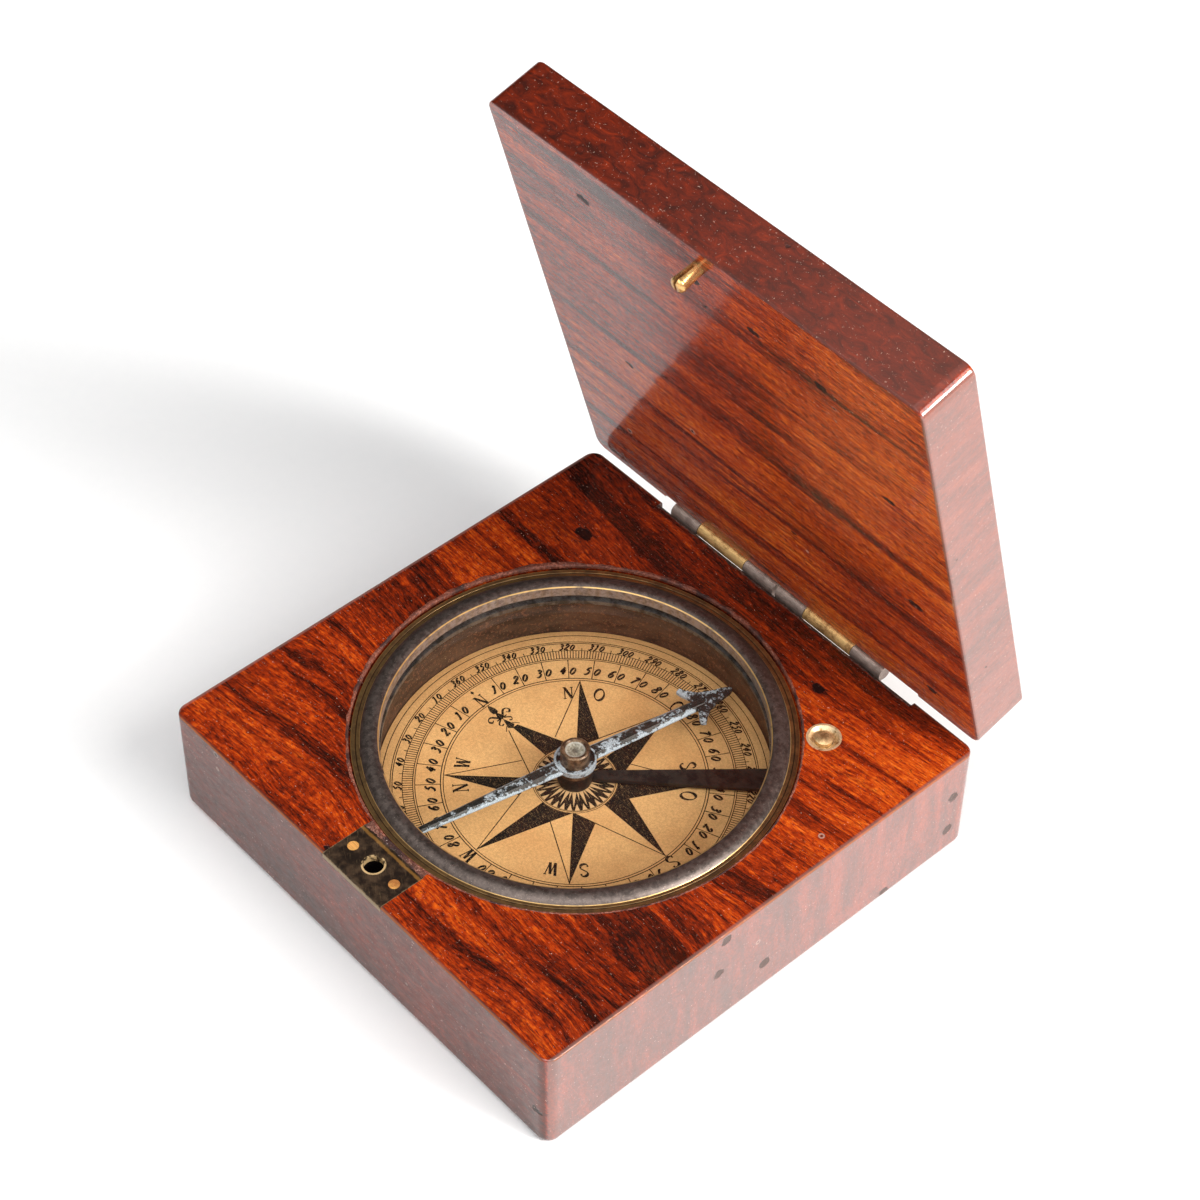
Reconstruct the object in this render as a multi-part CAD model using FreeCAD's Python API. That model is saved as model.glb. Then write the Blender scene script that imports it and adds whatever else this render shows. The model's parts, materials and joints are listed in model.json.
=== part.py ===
import FreeCAD, Part
import math
import os

# A pocket compass in a square hardwood case with a hinged lid, in millimetres.
# +Z is up, +X runs along the hinge, +Y points to the hinge. The origin is the
# centre of the base's underside. Everything on the lid is drawn with the lid shut
# and then swung open to the angle at which the case stands on show.

V = FreeCAD.Vector
UP = V(0, 0, 1)
ALONG = V(1, 0, 0)
BACK = V(0, 1, 0)

# ---- case
case_w = 84.0
case_d = 83.6
base_h = 20.4
lid_t = 9.6
seam = 0.3
corner_r = 2.0
foot_r = 1.5
rim_r = 0.35
lid_edge_r = 0.5
lid_mouth_r = 0.3
lid_open = 75.0

# ---- compass capsule, measured from the dial's centre
dial_x = 0.25
dial_y = 0.25
bowl_r = 31.3
bowl_wall = 1.2
bowl_floor_z = 7.2
bowl_floor_t = 1.0
flange_r = 33.1
flange_top = base_h - 0.6
flange_t = 0.7
bezel_in_r = 28.9
bezel_out_r = 31.8
bezel_top = base_h + 0.15
glass_top = 18.45
glass_t = 1.0
seat_t = 0.75
seat_in_r = 28.8
card_r = 29.9
card_board_t = 0.6
card_t = 0.3
fit_gap = 0.1
slide_gap = 0.05

# ---- needle, cap and pivot
needle_top = 14.1
needle_t = 0.65
needle_azimuth = 79.0
head_reach = 27.6
tail_reach = 27.4
hub_r = 3.2
cap_r = 2.25
cap_top = 16.4
cap_bottom = 12.1
jewel_r = 1.5
jewel_t = 1.6
pivot_tip_z = 15.15
pivot_r = 0.45
boss_r = 1.2
boss_top = 11.0

# ---- needle lifter and its lock pin, along one radius of the dial
lever_azimuth = 46.7
lever_t = 0.7
lever_z = 9.7
lever_end = 38.5
lever_wide = 2.0
lever_narrow = 0.8
fulcrum_radius = 30.6
fulcrum_half = 3.3
fulcrum_r = 0.4
fulcrum_knuckle_r = 0.8
lock_radius = 36.6
lock_r = 1.4
lock_top = base_h + 0.25
bush_r = 2.65
bush_t = 3.0
collar_out_r = 2.7
collar_in_r = 1.6
channel_half = 2.9
channel_end = 39.6
channel_floor = 7.9
channel_top = 12.0

# ---- latch at the front edge
latch_y = -37.7
latch_half = 6.5
latch_back = -33.8
latch_t = 1.0
latch_hole_r = 1.5
latch_pin_x = 4.6
latch_pin_r = 0.85
peg_r = 1.25
peg_out = 4.2
peg_in = 5.0
peg_slit = 0.45

# ---- two butt hinges side by side
hinge_y = case_d / 2 + 0.6
hinge_z = base_h + seam / 2
knuckle_r = 1.2
hinge_pin_r = 0.5
knuckle_gap = 0.12
leaf_t = 0.6
leaf_tall = 8.6
groove_r = 1.5
groove_x = (-26.0, 29.5)
hinge_cuts = {"left": (-23.4, -17.5, -7.2, -0.6), "right": (0.0, 6.0, 16.2, 22.5)}
nail_drop = 5.6
nail_head_r = 0.9
nail_head_t = 0.35
nail_r = 0.5
nail_length = 5.0

bowl_in_r = bowl_r - bowl_wall
bowl_floor_top = bowl_floor_z + bowl_floor_t
card_z = bowl_floor_top + card_board_t
card_top = card_z + card_t
glass_bottom = glass_top - glass_t
fulcrum_z = lever_z + lever_t / 2
collar_top = cap_bottom - 0.1
back_y = case_d / 2
front_y = -case_d / 2


def box(x0, x1, y0, y1, z0, z1):
    return Part.makeBox(x1 - x0, y1 - y0, z1 - z0, V(x0, y0, z0))


def disc(radius, z0, z1, x=0.0, y=0.0):
    return Part.makeCylinder(radius, z1 - z0, V(x, y, z0), UP)


def ring(outer, inner, z0, z1, x=0.0, y=0.0):
    return disc(outer, z0, z1, x, y).cut(disc(inner, z0 - 1, z1 + 1, x, y))


def rod(radius, x0, x1, y, z):
    return Part.makeCylinder(radius, x1 - x0, V(x0, y, z), ALONG)


def prism(points, z0, z1):
    corners = [V(x, y, z0) for x, y in points]
    face = Part.Face(Part.makePolygon(corners + corners[:1]))
    return face.extrude(V(0, 0, z1 - z0))


def turned(edges):
    """A solid of revolution about Z from edges drawn in the XZ plane."""
    face = Part.Face(Part.Wire(edges))
    return face.revolve(V(0, 0, 0), UP, 360)


def lines(points):
    """Straight edges through (radius, height) points."""
    corners = [V(r, 0, z) for r, z in points]
    return [Part.makeLine(a, b) for a, b in zip(corners, corners[1:])]


def closed(points):
    return lines(points + points[:1])


def arc(start, middle, end):
    ends = [V(r, 0, z) for r, z in (start, middle, end)]
    return Part.Arc(*ends).toShape()


def dome(radius, rim_z, crown_z):
    """An arc from the rim to the axis, part of a sphere centred on the axis."""
    rise = crown_z - rim_z
    sphere_r = (radius**2 + rise**2) / (2 * abs(rise))
    drop = sphere_r - math.sqrt(sphere_r**2 - radius**2 / 4)
    middle_z = crown_z - math.copysign(drop, rise)
    return arc((radius, rim_z), (radius / 2, middle_z), (0, crown_z))


def at_dial(shape, azimuth=0.0):
    """Turns a piece drawn about Z, +X outwards, and sets it at the dial's centre."""
    placed = shape.copy()
    placed.rotate(V(0, 0, 0), UP, azimuth)
    placed.translate(V(dial_x, dial_y, 0))
    return placed


def opened(shape):
    """Swings a piece drawn on the shut lid to its open angle."""
    swung = shape.copy()
    swung.rotate(V(0, hinge_y, hinge_z), V(-1, 0, 0), lid_open)
    return swung


def save(name, *shapes):
    shape = shapes[0] if len(shapes) == 1 else Part.makeCompound(list(shapes))
    shape.exportStep(f"parts/{name}.step")


def rounded_block(z0, z1, top_r, bottom_r):
    """The case's square block with rounded corners and softened top and bottom."""
    block = box(-case_w / 2, case_w / 2, front_y, back_y, z0, z1)
    uprights = [e for e in block.Edges if abs(e.tangentAt(e.FirstParameter).z) > 0.9]
    block = block.makeFillet(corner_r, uprights)
    for level, radius in ((z1, top_r), (z0, bottom_r)):
        if radius:
            rim = [e for e in block.Edges if flat_at(e, level)]
            block = block.makeFillet(radius, rim)
    return block


def base_blank():
    return rounded_block(0, base_h, rim_r, foot_r)


def flat_at(edge, level):
    box_ = edge.BoundBox
    return abs(box_.ZMin - level) < 1e-6 and abs(box_.ZMax - level) < 1e-6


# ---- fasteners


def nail(x, z):
    """A countersunk brass nail driven into the back face, its head flush."""
    shank = Part.makeCylinder(nail_r, nail_length, V(x, back_y, z), V(0, -1, 0))
    head = Part.makeCone(nail_head_r, nail_r, nail_head_t, V(x, back_y, z), V(0, -1, 0))
    return shank.fuse(head)


def leaf_nails(z):
    nails = []
    for cuts in hinge_cuts.values():
        span = cuts[-1] - cuts[0]
        nails += [nail(cuts[0] + span * share, z) for share in (0.15, 0.5, 0.85)]
    return nails


def cut_all(shape, tools):
    for tool in tools:
        shape = shape.cut(tool)
    return shape


# ---- hinges


def leaf_plate(cuts, side):
    """The flat of a leaf, let flush into the back face below or above the axis."""
    ends = sorted((hinge_z, hinge_z + side * leaf_tall))
    return box(cuts[0], cuts[-1], back_y - leaf_t, back_y, *ends)


def hinge_leaf(cuts, side, bands):
    """A leaf with the knuckles in the given bands; the other bands are cut away."""
    leaf = leaf_plate(cuts, side)
    for band in range(3):
        x0 = cuts[band] + (knuckle_gap / 2 if band else 0)
        x1 = cuts[band + 1] - (knuckle_gap / 2 if band < 2 else 0)
        if band in bands:
            leaf = leaf.fuse(rod(knuckle_r, x0, x1, hinge_y, hinge_z))
        else:
            clear = knuckle_gap if band == 1 else 0
            away = rod(groove_r, x0 - clear, x1 + clear, hinge_y, hinge_z)
            leaf = leaf.cut(away)
    bore_r = hinge_pin_r + (slide_gap if side > 0 else 0)
    return leaf.cut(rod(bore_r, cuts[0] - 1, cuts[-1] + 1, hinge_y, hinge_z))


base_nails = leaf_nails(hinge_z - nail_drop)
lid_nails = leaf_nails(hinge_z + nail_drop)
hinge_groove = rod(groove_r, groove_x[0], groove_x[1], hinge_y, hinge_z)


def make_hinges():
    for hand, cuts in hinge_cuts.items():
        lower = cut_all(hinge_leaf(cuts, -1, (0, 2)), base_nails)
        upper = cut_all(hinge_leaf(cuts, 1, (1,)), lid_nails)
        save(f"{hand}_hinge_base_leaf", lower)
        save(f"{hand}_hinge_lid_leaf", opened(upper))
        save(f"{hand}_hinge_pin", rod(hinge_pin_r, cuts[0], cuts[-1], hinge_y, hinge_z))
    save("base_leaf_nails", *base_nails)
    save("lid_leaf_nails", *[opened(piece) for piece in lid_nails])


# ---- latch


def latch_pins():
    z0 = base_h - 4.0
    return [disc(latch_pin_r, z0, base_h, x, latch_y) for x in (-latch_pin_x, latch_pin_x)]


def latch_blank():
    """The plate's seat, with the same softened edge as the wood beside it."""
    seat = box(-latch_half, latch_half, front_y, latch_back, base_h - latch_t, base_h)
    return seat.common(base_blank())


def make_latch():
    hole = disc(latch_hole_r, 0, base_h + 1, 0, latch_y)
    save("latch_plate", cut_all(latch_blank(), [hole] + latch_pins()))
    save("latch_plate_pins", *latch_pins())


def catch_peg():
    """A split brass peg in the lid, its two prongs swelling a little at the tip."""
    face_z = base_h + seam
    tip_z = face_z - peg_out
    edges = lines([(0, tip_z), (peg_r - 0.45, tip_z)])
    edges.append(arc((peg_r - 0.45, tip_z), (peg_r - 0.05, tip_z + 0.35), (peg_r, tip_z + 1)))
    edges.append(arc((peg_r, tip_z + 1), (peg_r - 0.12, face_z - 1.2), (peg_r - 0.15, face_z)))
    root = [(peg_r - 0.15, face_z), (peg_r - 0.15, face_z + peg_in), (0, face_z + peg_in), (0, tip_z)]
    peg = turned(edges + lines(root))
    slit = box(-peg_slit / 2, peg_slit / 2, -3, 3, tip_z - 1, face_z - 0.6)
    peg = peg.cut(slit)
    peg.translate(V(0, latch_y, 0))
    return peg


# ---- compass capsule


def fulcrum_pin():
    start = V(fulcrum_radius, -fulcrum_half, fulcrum_z)
    return Part.makeCylinder(fulcrum_r, 2 * fulcrum_half, start, BACK)


def compass_bowl():
    wall_top = flange_top - flange_t
    profile = [
        (0, bowl_floor_z), (bowl_r, bowl_floor_z), (bowl_r, wall_top), (flange_r, wall_top),
        (flange_r, flange_top), (bowl_in_r, flange_top), (bowl_in_r, bowl_floor_top), (0, bowl_floor_top),
    ]
    bowl = turned(closed(profile))
    slot = box(bowl_in_r - 2, bowl_r + 2, -2.5, 2.5, lever_z - 0.6, lever_z + 1.7)
    bowl = bowl.cut(to_lever(slot)).cut(to_lever(fulcrum_pin()))
    bowl = bowl.cut(disc(boss_r, 0, base_h))
    return at_dial(bowl)


def to_lever(shape):
    """Turns a piece drawn along +X to the lever's azimuth, still about the Z axis."""
    swung = shape.copy()
    swung.rotate(V(0, 0, 0), UP, lever_azimuth)
    return swung


def bezel_ring():
    """The rounded bead ring that keeps the glass, with a skirt down to it."""
    skirt_r = bowl_in_r - fit_gap
    skirt_z = glass_top + slide_gap
    low = flange_top
    lip = (bezel_in_r, bezel_top - 0.35)
    crown = ((bezel_out_r + bezel_in_r) / 2, bezel_top)
    edges = lines([lip, (bezel_in_r, skirt_z), (skirt_r, skirt_z), (skirt_r, low), (bezel_out_r, low)])
    edges.append(arc((bezel_out_r, low), crown, lip))
    return at_dial(turned(edges))


def make_capsule():
    save("compass_bowl", compass_bowl())
    save("bezel_ring", bezel_ring())
    save("glass_disc", at_dial(disc(bowl_in_r - fit_gap, glass_bottom, glass_top)))
    seat = ring(bowl_in_r - slide_gap, seat_in_r, glass_bottom - seat_t, glass_bottom)
    save("glass_seat_ring", at_dial(seat))
    save("card_board", at_dial(ring(card_r, boss_r, bowl_floor_top, card_z)))
    save("dial_card", at_dial(ring(card_r, boss_r, card_z, card_top)))


# ---- pivot, cap and needle


def pivot_boss():
    foot = disc(collar_out_r - 0.3, card_top, lever_z - slide_gap)
    stem = disc(boss_r, bowl_floor_z, boss_top)
    return at_dial(foot.fuse(stem).cut(disc(pivot_r, card_z, base_h)))


def pivot_point():
    shaft = disc(pivot_r, card_z, pivot_tip_z - 1.2)
    tip = Part.makeCone(pivot_r, 0.04, 1.2, V(0, 0, pivot_tip_z - 1.2), UP)
    return at_dial(shaft.fuse(tip))


def needle_cap():
    """A turned brass cap: a barrel on a shoulder that carries the needle."""
    shoulder_top = needle_top - needle_t - 0.25
    profile = [
        (jewel_r, cap_bottom), (hub_r - 0.4, cap_bottom), (hub_r - 0.3, shoulder_top), (cap_r, shoulder_top),
        (cap_r, cap_top - 0.2), (cap_r - 0.2, cap_top), (jewel_r + 0.25, cap_top), (jewel_r, cap_top - 0.3),
    ]
    return at_dial(turned(closed(profile)))


def cap_jewel():
    """A polished stone in the cap, dished on top, with the pivot's cone below."""
    top = cap_top - 0.3
    bottom = top - jewel_t
    cone_top = pivot_tip_z + slide_gap
    edges = lines([(0, cone_top), (cone_top - bottom, bottom), (jewel_r, bottom), (jewel_r, top)])
    edges.append(dome(jewel_r, top, top - 0.25))
    edges += lines([(0, top - 0.25), (0, cone_top)])
    return at_dial(turned(edges))


def needle_arm(reach, near_half, far_half, direction):
    """A bar with bevelled flanks, from the hub outwards."""
    bottom = needle_top - needle_t
    sections = []
    for along, half in ((hub_r - 0.5, near_half), (reach, far_half)):
        x = along * direction
        profile = [(-half, bottom), (half, bottom), (half, bottom + 0.2), (half * 0.45, needle_top)]
        profile += [(-half * 0.45, needle_top), (-half, bottom + 0.2)]
        corners = [V(x, y, z) for y, z in profile]
        sections.append(Part.makePolygon(corners + corners[:1]))
    return Part.makeLoft(sections, True, True)


def arrow_head():
    side = [
        (27.4, 0.4), (26.9, 0.65), (25.6, 0.95), (24.0, 1.25), (22.7, 1.8), (21.6, 2.75),
        (20.6, 3.9), (19.9, 3.6), (20.1, 2.8), (20.6, 1.8), (20.9, 1.2), (20.9, 0.6),
    ]
    outline = [(head_reach, 0.0)] + side + [(x, -y) for x, y in reversed(side)]
    return prism(outline, needle_top - needle_t, needle_top - 0.1)


def needle():
    hub = ring(hub_r, cap_r + slide_gap, needle_top - needle_t - 0.2, needle_top)
    recess = ring(hub_r - 0.35, cap_r, needle_top - 0.25, needle_top + 1)
    arms = [needle_arm(22.5, 1.35, 0.95, 1), needle_arm(tail_reach, 1.4, 0.6, -1)]
    blade = arrow_head().fuse(arms).fuse(hub)
    blade = blade.cut(disc(cap_r + slide_gap, 0, base_h)).cut(recess)
    return at_dial(blade.removeSplitter(), needle_azimuth)


def make_movement():
    save("pivot_boss", pivot_boss())
    save("pivot_point", pivot_point())
    save("needle_cap", needle_cap())
    save("cap_jewel", cap_jewel())
    save("needle", needle())


# ---- lifter and lock pin


def lifter_lever():
    """The lever over the card: a collar round the pivot, a bar and a knuckle."""
    outline = [
        (collar_in_r + 0.5, lever_narrow), (fulcrum_radius - 2, lever_wide), (lever_end, lever_wide),
    ]
    outline += [(x, -y) for x, y in reversed(outline)]
    bar = prism(outline, lever_z, lever_z + lever_t)
    collar = disc(collar_out_r, lever_z, collar_top)
    root = V(fulcrum_radius, -lever_wide, fulcrum_z)
    knuckle = Part.makeCylinder(fulcrum_knuckle_r, 2 * lever_wide, root, BACK)
    bore = Part.makeCylinder(fulcrum_r + 0.04, 4 * lever_wide, root - BACK * lever_wide, BACK)
    lever = bar.fuse([collar, knuckle]).cut(bore)
    return at_dial(lever.cut(disc(collar_in_r, 0, base_h)), lever_azimuth)


def lifter_spring():
    """A hairpin leaf under the lever's outer end, pushing it up."""
    thick = 0.2
    floor = channel_floor
    tip = lever_z - slide_gap
    path = [
        (32.4, floor), (38.4, floor), (39.0, floor + 0.4), (38.7, floor + 0.8), (34.4, tip),
        (34.2, tip - thick), (38.3, floor + 0.7), (38.6, floor + 0.45), (38.2, floor + thick),
        (32.4, floor + thick),
    ]
    corners = [V(r, -1.2, z) for r, z in path]
    face = Part.Face(Part.makePolygon(corners + corners[:1]))
    return at_dial(face.extrude(V(0, 2.4, 0)), lever_azimuth)


def lock_pin():
    """The brass plunger that the shut lid presses: a domed pin with a stop collar."""
    foot = lever_z + lever_t + 0.1
    stop = base_h - bush_t - slide_gap
    edges = lines([(0, foot), (lock_r, foot), (lock_r, stop - 0.5), (lock_r + 0.25, stop - 0.5)])
    edges += lines([(lock_r + 0.25, stop - 0.5), (lock_r + 0.25, stop), (lock_r, stop), (lock_r, lock_top - 0.35)])
    edges.append(dome(lock_r, lock_top - 0.35, lock_top))
    edges += lines([(0, lock_top), (0, foot)])
    return turned(edges)


def lock_pin_bush():
    bore = lock_r + slide_gap
    profile = [
        (bore, base_h - bush_t), (bush_r, base_h - bush_t), (bush_r, base_h), (bush_r - 0.35, base_h),
        (bore + 0.15, base_h - 0.75), (bore, base_h - 0.75),
    ]
    return turned(closed(profile))


def at_lock(shape):
    """Sets a piece drawn about Z on the lock pin's axis."""
    placed = shape.copy()
    placed.translate(V(lock_radius, 0, 0))
    return at_dial(placed, lever_azimuth)


def make_lifter():
    save("lifter_lever", lifter_lever())
    save("lifter_fulcrum_pin", at_dial(fulcrum_pin(), lever_azimuth))
    save("lifter_spring", lifter_spring())
    save("lock_pin", at_lock(lock_pin()))
    save("lock_pin_bush", at_lock(lock_pin_bush()))


# ---- wood


def base_block():
    """The base, turned out for the bowl and cut for the latch, hinges and lifter."""
    block = base_blank()
    flange_seat = disc(flange_r + 0.4, flange_top - flange_t, base_h + 1)
    well = disc(bowl_r + fit_gap, bowl_floor_z, base_h + 1)
    channel = box(bowl_r - 2, channel_end, -channel_half, channel_half, channel_floor, channel_top)
    cuts = [at_dial(flange_seat), at_dial(well), at_dial(channel, lever_azimuth)]
    cuts.append(at_lock(disc(lock_r + 0.4, channel_floor, base_h)))
    cuts.append(at_lock(disc(bush_r, base_h - bush_t, base_h + 1)))
    cuts.append(latch_blank())
    cuts.append(disc(latch_hole_r + 0.2, base_h - 6.0, base_h, 0, latch_y))
    cuts += latch_pins()
    cuts.append(hinge_groove)
    cuts += [leaf_plate(cuts_x, -1) for cuts_x in hinge_cuts.values()]
    cuts += base_nails
    return cut_all(block, cuts)


def lid_panel():
    """The lid: one thick board, cut for the peg and the upper hinge leaves."""
    block = rounded_block(base_h + seam, base_h + seam + lid_t, lid_edge_r, lid_mouth_r)
    cuts = [catch_peg(), hinge_groove]
    cuts += [leaf_plate(cuts_x, 1) for cuts_x in hinge_cuts.values()]
    cuts += lid_nails
    return opened(cut_all(block, cuts))


def main():
    os.makedirs("parts", exist_ok=True)
    save("base_block", base_block())
    save("lid_panel", lid_panel())
    save("catch_peg", opened(catch_peg()))
    make_hinges()
    make_latch()
    make_capsule()
    make_movement()
    make_lifter()


main()
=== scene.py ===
"""A pocket compass in a square hardwood case with a hinged lid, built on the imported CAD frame."""

import json
import math
import random

import bpy
from mathutils import Matrix, Vector


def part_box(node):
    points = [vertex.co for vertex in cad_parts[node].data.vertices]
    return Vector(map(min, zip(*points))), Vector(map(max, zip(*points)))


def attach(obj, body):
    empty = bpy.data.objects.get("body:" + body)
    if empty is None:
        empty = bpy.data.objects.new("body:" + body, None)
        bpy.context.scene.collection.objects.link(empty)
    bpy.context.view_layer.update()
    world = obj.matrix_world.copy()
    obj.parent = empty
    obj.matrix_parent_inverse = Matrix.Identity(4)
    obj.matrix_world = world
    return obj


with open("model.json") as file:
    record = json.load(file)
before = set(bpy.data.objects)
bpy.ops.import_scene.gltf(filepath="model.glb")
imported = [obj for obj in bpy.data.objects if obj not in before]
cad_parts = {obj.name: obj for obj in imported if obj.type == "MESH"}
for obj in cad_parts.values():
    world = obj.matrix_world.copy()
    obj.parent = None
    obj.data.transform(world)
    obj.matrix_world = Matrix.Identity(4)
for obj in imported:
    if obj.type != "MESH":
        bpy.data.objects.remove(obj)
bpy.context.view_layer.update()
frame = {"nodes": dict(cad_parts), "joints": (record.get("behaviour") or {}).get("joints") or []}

MM = 0.001


# ---- places, from the frame


def middle(node):
    low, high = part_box(node)
    return (low + high) / 2


def add_object(name, data):
    made = bpy.data.objects.new(name, data)
    bpy.context.scene.collection.objects.link(made)
    return made


def radius_mm(node):
    """Half the width of a round node, in millimetres."""
    low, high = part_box(node)
    return (high.x - low.x) / 2 / MM


joints = {joint["name"]: joint for joint in frame["joints"]}
base_low, base_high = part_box("base_block")
card_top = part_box("dial_card")[1].z
dial = Vector(joints["needle_swing"]["pos_m"])
hinge = Vector(joints["lid_hinge"]["pos_m"])
lid_turn = -joints["lid_hinge"]["range_deg"][0]
latch_low, latch_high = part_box("latch_plate")
latch_hole = middle("latch_plate_pins")
flange_r = radius_mm("compass_bowl")
bead_out_r = radius_mm("bezel_ring")

# Millimetres. The case's sides, the seam between base and lid, and the dial's centre.
SIDE_X, SIDE_Y, SEAM_Z = (value / MM for value in base_high)
DIAL_MM = (dial.x / MM, dial.y / MM)
WELL_R = flange_r + 0.4
BEAD_WIDTH = 2.9
NEEDLE_HUB_R = 3.2
NEEDLE_AZIMUTH = 79.0
GROOVE_R = 1.5
GROOVE_X = (-26.0, 29.5)


# ---- node graphs


class Graph:
    """The node graph of a material or world. Most methods add nodes and give back an output."""

    def __init__(self, owner):
        self.owner = owner
        owner.use_nodes = True
        self.tree = owner.node_tree
        self.tree.nodes.clear()

    def node(self, kind, inputs, **settings):
        node = self.tree.nodes.new("ShaderNode" + kind)
        for key, value in settings.items():
            setattr(node, key, value)
        for key, value in inputs.items():
            self.feed(node.inputs[key], value)
        return node

    def feed(self, socket, value):
        if isinstance(value, bpy.types.NodeSocket):
            self.tree.links.new(value, socket)
        elif socket.type == "RGBA" and len(value) == 3:
            socket.default_value = (*value, 1.0)
        else:
            socket.default_value = value

    def place(self):
        """The point on the object at rest, in millimetres."""
        coords = self.node("TexCoord", {}).outputs["Object"]
        return self.vector("SCALE", coords, scale=1 / MM)

    def vector(self, operation, a, b=None, scale=None):
        node = self.node("VectorMath", {0: a}, operation=operation)
        if b is not None:
            self.feed(node.inputs[1], b)
        if scale is not None:
            self.feed(node.inputs["Scale"], scale)
        return node.outputs["Value" if operation == "DOT_PRODUCT" else "Vector"]

    def math(self, operation, a, b=0.0, c=0.0):
        node = self.node("Math", {0: a, 1: b, 2: c}, operation=operation)
        return node.outputs[0]

    def add(self, a, b, *more):
        total = self.math("ADD", a, b)
        for part in more:
            total = self.math("ADD", total, part)
        return total

    def sub(self, a, b):
        return self.math("SUBTRACT", a, b)

    def mul(self, a, b):
        return self.math("MULTIPLY", a, b)

    def most(self, a, b):
        return self.math("MAXIMUM", a, b)

    def least(self, a, b):
        return self.math("MINIMUM", a, b)

    def size(self, a):
        return self.math("ABSOLUTE", a)

    def rest(self, share):
        """What a share leaves of 1."""
        return self.sub(1.0, share)

    def between(self, a, b, share):
        """A number that goes from a to b as share goes from 0 to 1."""
        return self.add(self.mul(a, self.rest(share)), self.mul(b, share))

    def split(self, vector):
        return self.node("SeparateXYZ", {0: vector}).outputs

    def join(self, x, y, z):
        return self.node("CombineXYZ", {0: x, 1: y, 2: z}).outputs[0]

    def turned(self, vector, centre, degrees, axis="Z_AXIS"):
        inputs = {"Vector": vector, "Center": centre, "Angle": math.radians(degrees)}
        return self.node("VectorRotate", inputs, rotation_type=axis).outputs[0]

    def scaled(self, vector, scale, shift):
        """The vector times scale, one number or three, moved by shift."""
        scale = scale if isinstance(scale, tuple) else (scale, scale, scale)
        return self.vector("ADD", self.vector("MULTIPLY", vector, scale), shift)

    def noise(self, vector, scale, detail=3.0, rough=0.5, shift=(0, 0, 0), warp=0.0):
        """Noise with scale lumps to the millimetre, from 0 to 1 and mostly near 0.5."""
        moved = self.scaled(vector, scale, shift)
        inputs = {"Vector": moved, "Scale": 1.0, "Detail": detail, "Roughness": rough, "Distortion": warp}
        return self.node("TexNoise", inputs).outputs[0]

    def cells(self, vector, scale, shift=(0, 0, 0)):
        """Distance to scattered points, and three random numbers for each point."""
        node = self.node("TexVoronoi", {"Vector": self.scaled(vector, scale, shift), "Scale": 1.0})
        return node.outputs["Distance"], self.split(node.outputs["Color"])

    def ramp(self, value, stops):
        node = self.node("ValToRGB", {0: value})
        ramp = node.color_ramp
        while len(ramp.elements) < len(stops):
            ramp.elements.new(0.5)
        for element, (position, colour) in zip(ramp.elements, stops):
            element.position = position
            element.color = (*colour, 1.0)
        return node.outputs[0]

    def step(self, value, start, end, low=0.0, high=1.0):
        """A soft step from low at start to high at end."""
        inputs = {0: value, 1: start, 2: end, 3: low, 4: high}
        return self.node("MapRange", inputs, interpolation_type="SMOOTHSTEP").outputs[0]

    def mix(self, share, a, b, blend="MIX"):
        node = self.tree.nodes.new("ShaderNodeMix")
        node.data_type = "RGBA"
        node.blend_type = blend
        for index, value in ((0, share), (6, a), (7, b)):
            self.feed(node.inputs[index], value)
        return node.outputs[2]

    def bump(self, height, depth):
        """Raises the surface by height times depth, depth in millimetres."""
        return self.node("Bump", {"Height": height, "Distance": depth * MM, "Strength": 1.0}).outputs[0]

    def finish(self, **inputs):
        """The Principled shader, with names such as base_color for its sockets."""
        named = {key.replace("_", " ").title(): value for key, value in inputs.items()}
        for typed, real in (("Coat Ior", "Coat IOR"), ("Specular Ior Level", "Specular IOR Level")):
            if typed in named:
                named[real] = named.pop(typed)
        shader = self.node("BsdfPrincipled", named)
        return self.output(shader.outputs[0])

    def output(self, shader):
        self.node("OutputMaterial", {"Surface": shader})
        return self.owner


def material_graph(name):
    return Graph(bpy.data.materials.new(name))


def from_centre(g, place, centre):
    """How far the point is from a vertical axis, in millimetres."""
    x, y, _ = g.split(place)
    dx = g.sub(x, centre[0])
    dy = g.sub(y, centre[1])
    return g.math("SQRT", g.add(g.mul(dx, dx), g.mul(dy, dy)))


def band(g, value, low, high, soft):
    """1 where value is between low and high, falling to 0 over soft."""
    rise = g.step(value, low - soft, low + soft)
    fall = g.step(value, high - soft, high + soft, 1.0, 0.0)
    return g.mul(rise, fall)


# ---- materials


def spread(g, value, gain):
    """Stretches a noise value round its middle."""
    return g.math("MULTIPLY_ADD", g.sub(value, 0.5), gain, 0.5)


# How far the grain sways, slowly and quickly, in millimetres.
SWAY = 14.0
RIPPLE = 3.4


def wood_grain(g, place, wander):
    """The place with its Y swayed, for noise that follows grain along X."""
    x, y, z = g.split(place)
    sway = g.noise(place, (0.016, 0.030, 0.030), 2.0)
    ripple = g.noise(place, (0.030, 0.16, 0.16), 2.0, 0.5, (2, 5, 5))
    sway = g.add(g.mul(g.sub(sway, 0.5), SWAY * wander), g.mul(g.sub(ripple, 0.5), RIPPLE * wander))
    return g.join(x, g.add(y, g.mul(z, 0.22), sway), z)


def wood_dents(g, place):
    """Short dark dents along the grain, of mixed sizes and mostly absent."""
    away, chance = g.cells(place, (0.085, 0.16, 0.16), (0.4, 0.7, 0.1))
    size = g.step(chance[0], 0.40, 1.0, 0.0, 0.18)
    wobble = g.mul(g.sub(g.noise(place, 1.3, 3.0), 0.5), 0.16)
    dents = g.step(g.sub(g.add(away, wobble), size), -0.03, 0.0, 1.0, 0.0)
    return g.mul(dents, g.step(chance[0], 0.44, 0.46))


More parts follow.
